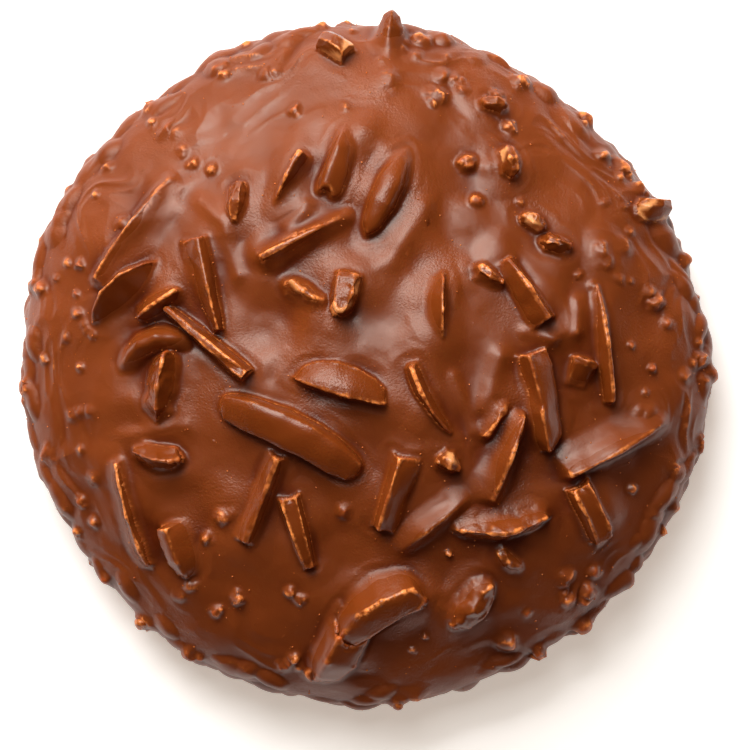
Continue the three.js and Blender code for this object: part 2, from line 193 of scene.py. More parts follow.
def smoothstep(value, low, high):
    """0 up to `low`, 1 from `high`, and a smooth rise between them."""
    share = np.clip((value - low) / (high - low), 0, 1)
    return share * share * (3 - 2 * share)


# ---------------------------------------------------------------- the coat's plain shape


def outline(angle):
    return RADIUS + sum(depth * np.cos(waves * angle + turn) for waves, depth, turn in RIM_WAVES)


def swell(x, y):
    return sum(depth * np.sin(kx * x + ky * y + turn) for kx, ky, turn, depth in SWELLS)


def dome_height(r):
    share = np.minimum(1, r / RADIUS)
    return BELLY + (HEIGHT - BELLY) * (1 - share**DOME_POWER) ** (1 / DOME_ROOT)


def half_section():
    """Radius, height and length so far, from the crown to the edge of the flat underside."""
    dome_r = RADIUS * np.sin(np.linspace(0, math.pi / 2, DOME_STEPS))
    turn = np.linspace(math.pi / 2, 0, BELLY_STEPS)[1:]
    r = np.concatenate([dome_r, RADIUS - BASE_INSET * (1 - np.sin(turn))])
    z = np.concatenate([dome_height(dome_r), BELLY * (1 - np.cos(turn))])
    run = np.concatenate([[0], np.cumsum(np.hypot(np.diff(r), np.diff(z)))])
    return r, z, run


def placed(r, z, angle):
    """The coat's points for a radius and height of the mean section."""
    grow = outline(angle) / RADIUS
    x = r * np.cos(angle) * grow
    y = r * np.sin(angle) * grow
    height = z + swell(x, y) * smoothstep(z, BELLY, HEIGHT - SWELLS_FADE)
    return np.stack([x, y, height], axis=-1)


def disc_grid(steps):
    """Radius (0 to 1) and angle of a square grid laid onto a disc with cells of equal size."""
    side = np.linspace(-1, 1, steps)
    u, v = np.meshgrid(side, side, indexing="ij")
    flat = np.abs(u) >= np.abs(v)
    long_way = np.where(flat, u, v)
    short_way = np.where(flat, v, u)
    ratio = np.divide(short_way, long_way, out=np.zeros_like(u), where=long_way != 0)
    angle = np.where(flat, ratio * math.pi / 4, math.pi / 2 - ratio * math.pi / 4)
    angle = np.where(long_way < 0, angle + math.pi, angle)
    return np.abs(long_way), np.arctan2(np.sin(angle), np.cos(angle))


def grid_normals(points):
    along_u = np.gradient(points, axis=0)
    along_v = np.gradient(points, axis=1)
    normals = np.cross(along_u, along_v)
    return normals / np.maximum(np.linalg.norm(normals, axis=2, keepdims=True), 1e-12)


SECTION_R, SECTION_Z, SECTION_RUN = half_section()
BELLY_RUN = np.interp(-BELLY, -SECTION_Z, SECTION_RUN)


def plain_coat():
    """Points, normals, length run from the crown and angle for the coat's grid, without relief."""
    reach, angle = disc_grid(GRID)
    run = reach * SECTION_RUN[-1]
    r = np.interp(run, SECTION_RUN, SECTION_R)
    z = np.interp(run, SECTION_RUN, SECTION_Z)
    points = placed(r, z, angle)
    return points.reshape(-1, 3), grid_normals(points).reshape(-1, 3), run.ravel(), angle.ravel()


# ---------------------------------------------------------------- meshes


def link(piece):
    bpy.context.scene.collection.objects.link(piece)
    return piece


def mesh_object(name, points, faces):
    """A smooth-shaded mesh object from points in millimetres."""
    mesh = bpy.data.meshes.new(name)
    mesh.from_pydata((np.asarray(points) * MM).tolist(), [], faces)
    mesh.update()
    mesh.shade_smooth()
    return link(bpy.data.objects.new(name, mesh))


def set_values(mesh, label, values):
    """Stores a named value for each point of a mesh."""
    layer = mesh.attributes.new(label, "FLOAT", "POINT")
    layer.data.foreach_set("value", np.asarray(values, dtype=np.float32))


def points_of(mesh):
    flat = np.empty(len(mesh.vertices) * 3)
    mesh.vertices.foreach_get("co", flat)
    return flat.reshape(-1, 3) / MM


def set_points(mesh, points):
    mesh.vertices.foreach_set("co", (points * MM).ravel())
    mesh.update()


def normals_of(mesh):
    flat = np.empty(len(mesh.vertices) * 3)
    mesh.vertices.foreach_get("normal", flat)
    return flat.reshape(-1, 3)


def edges_of(mesh):
    flat = np.empty(len(mesh.edges) * 2, dtype=np.int64)
    mesh.edges.foreach_get("vertices", flat)
    return flat.reshape(-1, 2)


def apply_modifiers(piece):
    """Puts the result of the piece's modifiers in its mesh."""
    graph = bpy.context.evaluated_depsgraph_get()
    made = bpy.data.meshes.new_from_object(piece.evaluated_get(graph))
    piece.modifiers.clear()
    old = piece.data
    piece.data = made
    bpy.data.meshes.remove(old)


def decimate(piece, triangles):
    """Thins the piece's mesh to about this many triangles, keeping its shape."""
    piece.data.calc_loop_triangles()
    thinner = piece.modifiers.new("thinner", "DECIMATE")
    thinner.ratio = min(1, triangles / len(piece.data.loop_triangles))
    apply_modifiers(piece)


def smoothed(points, edges, rounds):
    """Points moved half way to the mean of their neighbours, `rounds` times."""
    ends = np.concatenate([edges[:, 0], edges[:, 1]])
    others = np.concatenate([edges[:, 1], edges[:, 0]])
    count = np.maximum(np.bincount(ends, minlength=len(points)), 1)[:, None]
    for _ in range(rounds):
        sums = [np.bincount(ends, points[others, axis], len(points)) for axis in range(3)]
        total = np.stack(sums, axis=1)
        points = points + 0.5 * (total / count - points)
    return points


def unit_ball(subdivisions):
    """The points and faces of a ball with a radius of 1."""
    bm = bmesh.new()
    bmesh.ops.create_icosphere(bm, subdivisions=subdivisions, radius=1)
    points = np.array([v.co[:] for v in bm.verts])
    faces = [[v.index for v in face.verts] for face in bm.faces]
    bm.free()
    return points, faces


def sharpness(mesh, rounds):
    """How far each point stands out from its smoothed surroundings, in millimetres."""
    points = points_of(mesh)
    around = smoothed(points, edges_of(mesh), rounds)
    return np.sum((points - around) * normals_of(mesh), axis=1)


def crest(mesh, rounds):
    """1 for points about as high as the highest within `rounds` edges, 0 for those well below."""
    height = points_of(mesh)[:, 2]
    edges = edges_of(mesh)
    top = height.copy()
    for _ in range(rounds):
        higher = top.copy()
        np.maximum.at(higher, edges[:, 0], top[edges[:, 1]])
        np.maximum.at(higher, edges[:, 1], top[edges[:, 0]])
        top = higher
    return smoothstep(height - top, *CREST)


# ---------------------------------------------------------------- almonds

# How each kind of almond piece is finished: rounds of smoothing, depth of its roughness, the size
# of its lumps, and how far the coat is drawn up to it.
FINISH = {
    "blade": (4, 0.1, 2.4, 0.5),
    "stick": (4, 0.1, 2.4, 0.45),
    "half_moon": (4, 0.1, 2.6, 0.45),
    "leaf": (30, 0.09, 2.4, 0.6),
    "boat": (22, 0.09, 3.0, 0.45),
    "lens": (3, 0.1, 2.2, 0.45),
    "crescent": (3, 0.08, 2.0, 0.55),
    "chunk": (2, 0.17, 1.2, 0.45),
    "wedge": (2, 0.12, 1.6, 0.45),
    "rim_chunk": (2, 0.07, 1.4, 0.4),
    "rim_thorn": (5, 0.08, 1.6, 1.2),
}
# Pieces that the coat lies over like a cloth, and how far it is drawn up to each.
DRAPED = {
    "01": 1.5, "08": 1.4, "09": 0.9, "19": 0.9, "24": 0.55, "27": 1.1, "28": 0.6, "29": 0.6,
    "30": 0.9, "32": 0.7, "35": 1.3, "36": 0.9, "38": 1.5, "39": 1.1, "40": 1.4, "42": 0.8,
    "43": 0.6, "44": 0.7,
}
# How much fatter than its solid a piece is: most of them, and two.
COAT_OF_ALMOND = 0.05
PLUMP = {"43": 0.28, "44": 0.26}
# Broken faces with no chocolate on them, each from one point to another: x, y, x, y and width.
BARE = (
    (-4.8, 32.6, -2.6, 32.0, 0.6), (-1.9, 34.0, -2.2, 31.8, 0.4), (28.4, 16.6, 30.0, 17.3, 0.2),
    (28.4, 16.6, 29.6, 14.8, 0.2), (29.6, 14.6, 31.3, 15.6, 0.2), (-0.9, 8.8, -1.7, 6.6, 0.16),
    (-1.7, 6.6, -2.7, 5.7, 0.2), (-2.7, 5.7, -3.6, 6.3, 0.2), (-7.9, 9.0, -6.6, 7.3, 0.14),
    (-6.6, 7.3, -6.7, 6.1, 0.16), (8.5, -9.1, 9.2, -9.8, 0.3), (16.8, 16.1, 17.0, 14.9, 0.3),
    (17.0, 14.8, 18.5, 14.4, 0.25), (14.5, 23.0, 13.6, 21.4, 0.25),
)


# From how far to how little below the highest point nearby an edge counts as a crest.
CREST = (-0.75, -0.2)
# How far a point stands out from its surroundings or lies below them, from no effect to the full.
BEND_KEPT = (0.05, 0.18)
CRISP_EDGE = (0.03, 0.09)
# Brightens crisp edges: thin chocolate over the nut, partly a painted highlight.
THIN_AND_HIGHLIGHT_EDGE = (0.02, 0.075)
# Lightens bulges: thin chocolate over the nut, partly a painted glow.
THIN_COAT_AND_GLOW_BEND = (0.09, 0.36)
# Darkens points that lie below their surroundings: painted shade.
FOOT_SHADE = (0.02, 0.2)
# Added to a piece's own seed, so that each of its noises is another one.
SMALL_LUMPS, LONG_BREAKS, SHORT_BREAKS, BARE_OUTLINE, CRISP_ROUGH = 50, 60, 70, 80, 90


def kind_of(node):
    return node[len("almond_"):-3]


def draw_of(node):
    """How far the coat is drawn up to this almond piece."""
    return DRAPED.get(node[-2:], FINISH[kind_of(node)][3])


def segment_gap(points, x0, y0, x1, y1):
    """Distance, seen from above, from each point to the line from one place to another."""
    offset = points[:, :2] - (x0, y0)
    line = np.array([x1 - x0, y1 - y0])
    share = np.clip(offset @ line / max(line @ line, 1e-6), 0, 1)
    return np.linalg.norm(offset - share[:, None] * line, axis=1)


def carved(points):
    """The points with the grooves pressed in from above."""
    depth = np.zeros(len(points))
    for *ends, width, deep in GROOVES:
        depth += deep * np.exp(-((segment_gap(points, *ends) / width) ** 2))
    return points - depth[:, None] * (0, 0, 1)


def softened(mesh):
    """The mesh's points with faint bends smoothed away and its ridges kept."""
    points = points_of(mesh)
    soft = smoothed(points, edges_of(mesh), 60)
    stands_out = np.sum((points - soft) * normals_of(mesh), axis=1)
    return soft + (points - soft) * smoothstep(stands_out, *BEND_KEPT)[:, None]


def coated_mesh(piece, node, seed):
    """Rounds off and roughens a remeshed piece, thins its mesh and marks its sharp edges."""
    rounds, rough, lump, _ = FINISH[kind_of(node)]
    mesh = piece.data
    set_points(mesh, carved(smoothed(points_of(mesh), edges_of(mesh), rounds)))
    points = softened(mesh)
    set_points(mesh, points)
    crisp = smoothstep(sharpness(mesh, 8), *CRISP_EDGE)
    thick = PLUMP.get(node[-2:], COAT_OF_ALMOND)
    thick += 0.1 * crisp * noise(points, 0.6, seed + CRISP_ROUGH)
    thick += layered(points, (rough, lump, seed), (0.4 * rough, lump / 2.3, seed + SMALL_LUMPS))
    set_points(mesh, points + normals_of(mesh) * thick[:, None])
    mark_sharp(mesh, seed)
    set_values(mesh, "draw", np.full(len(points), draw_of(node)))
    set_values(mesh, "cover", np.full(len(points), COVER_OF_ALMOND * draw_of(node)))
    area = sum(polygon.area for polygon in mesh.polygons) / MM**2
    decimate(piece, area * ALMOND_TRIANGLES)
    piece.data.shade_smooth()


def mark_sharp(mesh, seed):
    """Stores where the chocolate is thin on edges, with a painted highlight there, where it is
    thin on bulges, with a painted glow there, the painted shade where it lies deep, and where it
    is missing.
    """
    points = points_of(mesh)
    broken = smoothstep(noise(points, 1.5, seed + SHORT_BREAKS), -0.9, -0.1)
    broken *= 0.25 + 0.75 * smoothstep(noise(points, 4.5, seed + LONG_BREAKS), -0.35, 0.15)
    broken *= 0.12 + 0.95 * crest(mesh, 16)
    broad = sharpness(mesh, 40)
    # Brighter crisp top edges: thin chocolate over the nut, partly a painted highlight.
    set_values(mesh, "thin_and_highlight", smoothstep(sharpness(mesh, 9), *THIN_AND_HIGHLIGHT_EDGE) * broken)
    # Lighter bulges: thin chocolate over the nut, partly a painted glow.
    set_values(mesh, "thin_coat_and_glow", smoothstep(broad, *THIN_COAT_AND_GLOW_BEND))
    # Painted shade in the dips of the piece.
    set_values(mesh, "hollow_shade", smoothstep(-broad, *FOOT_SHADE))
    gap = np.min([segment_gap(points, *ends) - width for *ends, width in BARE], axis=0)
    wander = 0.3 * noise(points, 0.8, seed + BARE_OUTLINE)
    set_values(mesh, "bare", smoothstep(wander - gap, -0.15, 0.15))


def almond(node, seed):
    """One coated almond piece in place of its solid, remeshed at a thousand times its size."""
    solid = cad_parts[node].data.copy()
    piece = link(bpy.data.objects.new(node.replace("almond", "coated"), solid))
    bm = bmesh.new()
    bm.from_mesh(piece.data)
    bmesh.ops.remove_doubles(bm, verts=bm.verts, dist=1e-3 * MM)
    bmesh.ops.scale(bm, vec=(1 / MM,) * 3, verts=bm.verts)
    bm.to_mesh(piece.data)
    bm.free()
    remesh = piece.modifiers.new("remesh", "REMESH")
    remesh.mode = "VOXEL"
    remesh.voxel_size = ALMOND_VOXEL * 1
    apply_modifiers(piece)
    set_points(piece.data, points_of(piece.data) * MM)
    coated_mesh(piece, node, seed)
    return piece


almond_nodes = sorted(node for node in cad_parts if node.startswith("almond_"))
almonds = {node: almond(node, seed) for seed, node in enumerate(almond_nodes)}


# ---------------------------------------------------------------- crumbs

# Crumbs on the wall lie from so far above the widest line down to this height.
WALL_TOP, WALL_FOOT = 9, 1.2
# Smaller crumbs beside each, by its width: how many, how far aside, and how wide.
BESIDE_COUNT, BESIDE_GAP, BESIDE_WIDTH = (0.4, 1.5), (0.3, 0.65), (0.35, 0.6)
# How much the placed crumbs vary in width. Those on the wall have a random share of the widest,
# raised to a power that makes wide ones rarer.
WIDTH_CHANGE, WALL_SHARE, WALL_POWER, WALL_WIDEST = (0.9, 1.1), (0.5, 1.0), 1.6, 1.9
# A crumb is a stretched ball with flat sides: how much it is stretched, how many sides are pressed
# flat, how far from its middle they lie, and how far it stands above the coat, for a width of 1.
CRUMB_STRETCH, FLAT_SIDES, FLAT_AT, CRUMB_LIFT = 0.35, 7, (0.24, 0.36), (-0.05, 0.2)
CRUMB_TRIANGLES = 150
CRUMB_ROUGHNESS = ((0.05, 0.5, 90), (0.15, 0.9, 91))
# Specks: their least width, how much wider the widest are, the power that makes wide ones rare,
# and their shape.
SPECK_LEAST, SPECK_MORE, SPECK_POWER, SPECK_SHAPE = 0.07, 0.17, 2.5, (1, 0.8, 0.6)


def lump_points(ball, random):
    """The ball's points pressed flat on a few sides, like a broken nut: about 1 across."""
    points = ball * (1 + CRUMB_STRETCH * random.random(3)) / 2.4
    for _ in range(FLAT_SIDES):
        side = random.normal(size=3)
        side /= np.linalg.norm(side)
        over = np.maximum(points @ side - random.uniform(*FLAT_AT), 0)
        points = points - over[:, None] * side
    return points


def turned(points, random):
    """The points turned at random, but never mirrored."""
    basis, _ = np.linalg.qr(random.normal(size=(3, 3)))
    basis[:, 0] *= np.sign(np.linalg.det(basis))
    return points @ basis


def crumb_seats(points, normals, run, random):
    """Place, outward direction and width of every crumb, with smaller ones beside the larger."""
    seats = []
    top = np.flatnonzero(points[:, 2] > BELLY)
    for width, spots in CRUMBS.items():
        for x, y in spots:
            nearest = top[np.argmin((points[top, 0] - x) ** 2 + (points[top, 1] - y) ** 2)]
            own_width = width * random.uniform(*WIDTH_CHANGE)
            seats.append((points[nearest], normals[nearest], own_width))
    wall = np.flatnonzero((run > BELLY_RUN - WALL_TOP) & (points[:, 2] > WALL_FOOT))
    for nearest in random.choice(wall, WALL_CRUMBS):
        width = random.uniform(*WALL_SHARE) ** WALL_POWER * WALL_WIDEST
        seats.append((points[nearest], normals[nearest], width))
    for seat, outward, width in list(seats):
        for _ in range(int(width * random.uniform(*BESIDE_COUNT))):
            aside = np.cross(outward, random.normal(size=3))
            aside *= width * random.uniform(*BESIDE_GAP) / np.linalg.norm(aside)
            seats.append((seat + aside, outward, width * random.uniform(*BESIDE_WIDTH)))
    return seats


def crumb_piece_of(name, seats, random):
    """Small nut crumbs as one joined mesh, with how far the coat is drawn up and covers them."""
    ball, ball_faces = unit_ball(3)
    all_points, all_faces, widths = [], [], []
    for seat, outward, width in seats:
        shape = turned(lump_points(ball, random), random) * width
        first = len(all_points) * len(ball)
        all_points.append(seat + outward * width * random.uniform(*CRUMB_LIFT) + shape)
        all_faces += [[first + i for i in face] for face in ball_faces]
        widths.append(np.full(len(ball), width))
    points, widths = np.concatenate(all_points), np.concatenate(widths)
    piece = mesh_object(name, points, all_faces)
    mesh = piece.data
    points = smoothed(points, edges_of(mesh), 1)
    points = points + normals_of(mesh) * layered(points, *CRUMB_ROUGHNESS)[:, None]
    set_points(mesh, points)
    fine = smoothstep(-widths, -1.6, -0.7)
    # Brighter crumb edges: thin chocolate over the nut, partly a painted highlight.
    edge = smoothstep(sharpness(mesh, 3), 0.02 - 0.01 * fine, 0.05)
    set_values(mesh, "thin_and_highlight", (0.45 + 0.55 * fine) * edge)
    # Lighter crumb bulges: thin chocolate over the nut, partly a painted glow.
    set_values(mesh, "thin_coat_and_glow", (0.4 + 0.5 * fine) * smoothstep(sharpness(mesh, 8), 0.02, 0.12))
    set_values(mesh, "draw", 0.3 + 0.4 * widths)
    set_values(mesh, "cover", np.full(len(points), COVER_OF_CRUMB[name]))
    decimate(piece, len(all_points) * CRUMB_TRIANGLES)
    piece.data.shade_smooth()
    return piece


def crumbs(points, normals, run):
    """The crumbs that stick out of the coat, and those that it lies over and that shape it."""
    random = np.random.default_rng(SEED)
    seats = crumb_seats(points, normals, run, random)
    bared = random.random(len(seats)) < BARED_SHARE
    pieces = []
    for name, chosen in (("nut_crumbs", bared), ("covered_crumbs", ~bared)):
        own = [seat for seat, pick in zip(seats, chosen) if pick]
        pieces.append(crumb_piece_of(name, own, random))
    return pieces


def specks(coat_mesh):
    """Tiny bright grains that lie in the coat's skin, as one joined mesh."""
    random = np.random.default_rng(SEED + 2)
    ball, ball_faces = unit_ball(1)
    points, normals = points_of(coat_mesh), normals_of(coat_mesh)
    crowd = 0.3 + 0.7 * smoothstep(noise(points, 5, 41), 0.0, 0.4)
    crowd[points[:, 2] < SPECKS_FOOT] = 0
    all_points, all_faces = [], []
    for seat in random.choice(len(points), SPECKS, p=crowd / crowd.sum()):
        width = SPECK_LEAST + SPECK_MORE * random.random() ** SPECK_POWER
        first = len(all_points) * len(ball)
        grain = ball * SPECK_SHAPE * (1 + 0.3 * random.random((len(ball), 1))) / 2
        shape = turned(grain, random) * width
        all_points.append(points[seat] + normals[seat] * width * 0.1 + shape)
        all_faces += [[first + i for i in face] for face in ball_faces]
    piece = mesh_object("nut_specks", np.concatenate(all_points), all_faces)
    set_values(piece.data, "thin_and_highlight", np.full(len(piece.data.vertices), 0.5))
    set_values(piece.data, "thin_coat_and_glow", np.ones(len(piece.data.vertices)))
    return piece


plain_points, plain_normals, plain_run, plain_angle = plain_coat()
crumb_piece, covered_piece = crumbs(plain_points, plain_normals, plain_run)


# ---------------------------------------------------------------- coat


def search_tree(pieces):
    """A search tree over pieces, with how far the coat is drawn up to each face and covers it."""
    points, faces, pulls = [], [], []
    for piece in pieces:
        first = len(points)
        points += [Vector(p) for p in points_of(piece.data)]
        corners = [list(polygon.vertices) for polygon in piece.data.polygons]
        faces += [[first + i for i in face] for face in corners]
        draw, cover = (piece.data.attributes[label].data for label in ("draw", "cover"))
        pulls += [(draw[face[0]].value, cover[face[0]].value) for face in corners]
    return BVHTree.FromPolygons(points, faces), pulls


almond_tree = search_tree(almonds.values())
whole_tree = search_tree([*almonds.values(), crumb_piece, covered_piece])
bpy.data.objects.remove(covered_piece)
FAR = 8.0  # how far pieces are searched for
TOP = 3.4  # above everything that stands on the coat
STEPS = 40
MET = 0.015  # how near to the draped surface a search for it ends
# Rounds of mixing on the full grid, for the widths that they spread over.
PULL_SPREAD, COVER_SPREAD, WIDE_SPREAD, NARROW_SPREAD = 14, 4, 200, 30
# Where a piece stands high over the coat, the coat stays a little below the piece's skin: from
# which height, over how much more, and how deep, for a softness of 1.
SINK_FROM, SINK_OVER, SINK_DEPTH = 0.8, 0.5, 0.25


def nearness(points, search):
    """Each point's distance to the nearest piece, and that piece's draw and cover."""
    tree, pulls = search
    found = [tree.find_nearest(Vector(p), FAR) for p in points]
    gaps = np.array([FAR if spot is None else gap for spot, _, _, gap in found])
    faces = np.array([face or 0 for _, _, face, _ in found])
    return gaps, *np.array(pulls)[faces].T


def blurred(values, rounds):
    """Values on the coat's grid, mixed with those beside them."""
    grid = np.pad(values.reshape(GRID, GRID), 1, mode="edge")
    for _ in range(rounds):
        across = grid[:-2, 1:-1] + grid[2:, 1:-1]
        grid[1:-1, 1:-1] = (across + grid[1:-1, :-2] + grid[1:-1, 2:]) / 4
    return grid[1:-1, 1:-1].ravel()


def rise_at(base, up, soft, tree):
    """Height over `base` where a coat that lies over the pieces in a soft hollow is met."""
    height = TOP
    for _ in range(STEPS):
        gap = tree.find_nearest(base + up * height, FAR)[3]
        blend = max(soft - abs(height - gap), 0)
        field = min(height, gap) - blend * blend / (4 * soft)
        if field < MET:
            break
        height -= field
    return height


def drawn_up(points, normals):
    """How far the coat rises at each point to meet the pieces, and how near they are."""
    near, draw, cover = nearness(points, whole_tree)
    draw, cover = blurred(draw, PULL_SPREAD), blurred(cover, COVER_SPREAD)
    rise = np.zeros(len(points))
    for i in np.flatnonzero(near < REACH):
        soft = draw[i]
        height = rise_at(Vector(points[i]), Vector(normals[i]), soft, whole_tree[0])
        sink = min(1, max(0, (height / soft - SINK_FROM) / SINK_OVER))
        rise[i] = min(height, cover[i]) - SINK_DEPTH * soft * sink * sink
    return rise, near


DRIPS, DRIPS_START = 170, 6
DRIP_LEVEL, DRIP_LENGTH, DRIP_WIDTH = (-2.6, 3.4), (1.3, 3.4), (0.9, 1.8)
DRIP_DEPTH, DRIP_LEAN = (0.3, 0.75), (-0.3, 0.3)


def bulges(run, angle):
    """Overlapping rounded drips on the side wall, with sharp hollows between them."""
    random = np.random.default_rng(SEED + 1)
    height = np.zeros(len(run))
    wall = np.flatnonzero(run > BELLY_RUN - DRIPS_START)
    along, down = RADIUS * angle[wall], run[wall]
    half_round = math.pi * RADIUS
    for _ in range(DRIPS):
        place = random.uniform(-math.pi, math.pi) * RADIUS
        level = BELLY_RUN + random.uniform(*DRIP_LEVEL)
        length, width = random.uniform(*DRIP_LENGTH), random.uniform(*DRIP_WIDTH)
        depth = random.uniform(*DRIP_DEPTH)
        lean = random.uniform(*DRIP_LEAN)
        side = (along - place + half_round) % (2 * half_round) - half_round
        gap = (side / length) ** 2 + ((down - level - lean * side) / width) ** 2
        height[wall] = np.maximum(height[wall], depth * np.maximum(1 - gap, 0) ** 1.2)
    return height


# The folds round the rim: depth, length, width and seed of the large and of the small ones.
FOLD_LAYERS = ((0.27, 6.6, 2.1, 11), (0.12, 3.6, 1.25, 12))


def dunes(run, angle):
    """Folds that run round the rim, with crests that wander and end."""
    around = np.stack([RADIUS * np.cos(angle), RADIUS * np.sin(angle), np.zeros_like(run)], axis=1)
    deep = np.array([0, 0, 1]) * run[:, None]
    wander = deep + np.array([0, 0, 1]) * (2.6 * noise(around + deep, 6, 10))[:, None]
    folds = 0
    for depth, length, width, seed in FOLD_LAYERS:
        folds += depth * ridged(around / length + wander / width, 1, seed)
    return folds * (0.7 + 0.6 * noise(around + deep, 5, 13))


def mounds(points):
    """The broad mounds and the single raised folds."""
    height = np.zeros(len(points))
    for x, y, radius, top in MOUNDS:
        gap = ((points[:, 0] - x) ** 2 + (points[:, 1] - y) ** 2) / radius**2
        height += top * np.maximum(1 - gap, 0) ** 2
    for *ends, width, top in FOLDS:
        height += top * np.exp(-((segment_gap(points, *ends) / width) ** 2))
    return height


# Lines and grooves along the almonds: how far away, how wide, and how high or deep. The skirts:
# how thick on average, how much that changes, and how wide.
LIP_AWAY, LIP_WIDTH, LIP_HEIGHT = 1.25, 0.3, 0.05
GROOVE_AWAY, GROOVE_WIDTH, GROOVE_DEPTH = 0.55, 0.4, 0.06
SKIRT_HEIGHT, SKIRT_CHANGE, SKIRT_WIDTH = 0.22, 0.22, 1.9


def lips(points, near, draw):
    """Fine raised lines and grooves that run along some sides of the almonds, a little way off."""
    wander = near * (1 + 0.3 * noise(points, 5, 33)) + 0.3 * noise(points, 2.2, 31)
    share = smoothstep(noise(points, 4, 32), 0.0, 0.5) * smoothstep(-draw, -1.0, -0.7)
    groove = smoothstep(noise(points, 3.4, 34), -0.4, 0.3)
    line = LIP_HEIGHT * share * np.exp(-(((wander - LIP_AWAY) / LIP_WIDTH) ** 2))
    return line - GROOVE_DEPTH * groove * np.exp(-(((near - GROOVE_AWAY) / GROOVE_WIDTH) ** 2))


def skirts(points, near):
    """How much thicker the coat is round the almonds, where it flowed off them."""
    height = SKIRT_HEIGHT + SKIRT_CHANGE * noise(points, 4.2, 36)
    return height * np.exp(-((near / SKIRT_WIDTH) ** 2))


SWELL_LAYERS = ((0.46, 4.8, 21), (0.14, 2.7, 22))
RIPPLE_LAYERS = ((0.025, 1.3, 23), (0.01, 0.6, 24))
# The folds round the rim begin this far from the crown, sooner at the upper left, and are full at
# the second length. From CLIMB above the widest line down they grow weaker.
RIM_FROM, RIM_FULL, RIM_SOONER, CLIMB = 30, 36, 7, 5


def relief(points, run, angle, near, draw):
    """The small shapes of the coat: mounds, swells, folds round the rim, drips and ripples."""
    upper_left = 0.5 - 0.5 * np.cos(angle + math.pi / 4)
    rim = smoothstep(run, RIM_FROM - RIM_SOONER * upper_left, RIM_FULL)
    lower_left = 0.5 - 0.5 * np.cos(angle - math.pi / 3)
    calm = 0.5 * smoothstep(run, BELLY_RUN - CLIMB, BELLY_RUN - 1)
    folds = dunes(run, angle) * (1 - 0.5 * lower_left**2) * (1 - calm)
    broad = layered(points, *SWELL_LAYERS) + mounds(points)
    height = folds * rim + broad * (1 - 0.6 * rim) + layered(points, *RIPPLE_LAYERS)
    return height + bulges(run, angle) + lips(points, near, draw) + skirts(points, near)


UNDERSIDE_RINGS = (0.97, 0.9, 0.75, 0.5, 0.25)


def coat_surface():
    """The coat's points, the painted shade for how deep in a hollow each lies, and which of them
    lie over a crumb.
    """
    points, normals, run, angle = plain_points, plain_normals, plain_run, plain_angle
    foot = smoothstep(points[:, 2], 0.3, 2.5)
    near, draw, _ = nearness(points, almond_tree)
    height = relief(points, run, angle, near, blurred(draw, PULL_SPREAD)) * foot
    points = points + normals * height[:, None]
    normals = grid_normals(points.reshape(GRID, GRID, 3)).reshape(-1, 3)
    rise, gap = drawn_up(points, normals)
    nub = smoothstep(-gap, -1.0, -0.3) * smoothstep(near, 0.9, 1.6) * smoothstep(rise, 0.1, 0.4)
    height += rise
    finer = (GRID / FULL_GRID) ** 2
    wide_hollow = blurred(height, int(WIDE_SPREAD * finer)) - height
    narrow_hollow = blurred(height, int(NARROW_SPREAD * finer)) - height
    # Painted shade, darker the deeper a point lies below its blurred surroundings, broadly and
    # close by.
    hollow_shade = 0.7 * smoothstep(wide_hollow, 0.0, 0.55) + 0.45 * smoothstep(narrow_hollow, 0.02, 0.2)
    return points + normals * rise[:, None], np.minimum(1, hollow_shade), nub


def closed_below(points, rim):
    """The points with rings of the flat underside added inside the rim, and its faces."""
    faces = []
    ring = rim
    edge = points[rim] * (1, 1, 0)
    middle = edge.mean(axis=0)
    for share in UNDERSIDE_RINGS:
        inner = len(points) + np.arange(len(rim))
        points = np.concatenate([points, middle + (edge - middle) * share])
        faces += np.stack([np.roll(ring, -1), ring, inner, np.roll(inner, -1)], axis=-1).tolist()
        ring = inner
    points = np.concatenate([points, middle[None]])
    faces += [[int(b), int(a), len(points) - 1] for a, b in zip(ring, np.roll(ring, -1))]
    return points, faces


def coat():
    """The closed coat, with painted shade where it lies in a hollow, and lighter colour where it
    is thin, partly a painted highlight on edges and a painted glow on bulges.
    """
    points, hollow_shade, nub = coat_surface()
    index = np.arange(GRID * GRID).reshape(GRID, GRID)
    corners = [index[:-1, :-1], index[1:, :-1], index[1:, 1:], index[:-1, 1:]]
    top_faces = np.stack(corners, axis=-1).reshape(-1, 4).tolist()
    rim = np.concatenate([index[:-1, 0], index[-1, :-1], index[:0:-1, -1], index[0, :0:-1]])
    points, faces_below = closed_below(points, rim)
    piece = mesh_object("chocolate_coat", points, top_faces + faces_below)
    mesh = piece.data
    hollow_shade, nub = (np.pad(values, (0, len(points) - len(values))) for values in (hollow_shade, nub))
    broken = smoothstep(noise(points_of(mesh), 0.9, 44), -0.5, 0.3)
    tip = nub * smoothstep(sharpness(mesh, 12), 0.03, 0.14)
    # Brighter sharp bends and crumb tips: thin chocolate, partly a painted highlight.
    thin_and_highlight = smoothstep(sharpness(mesh, 5), 0.025, 0.08) * (0.6 + 0.4 * nub) + 0.5 * tip
    # Painted shade in the coat's hollows.
    set_values(mesh, "hollow_shade", hollow_shade)
    set_values(mesh, "thin_and_highlight", np.minimum(1, thin_and_highlight) * broken)
    # Lighter broad bulges and crumb tips: thin chocolate, partly a painted glow.
    set_values(mesh, "thin_coat_and_glow", np.maximum(smoothstep(sharpness(mesh, 24), 0.08, 0.32), tip))
    decimate(piece, COAT_TRIANGLES)
    piece.data.shade_smooth()
    return piece


coat_piece = coat()
speck_piece = specks(coat_piece.data)


# ---------------------------------------------------------------- chocolate


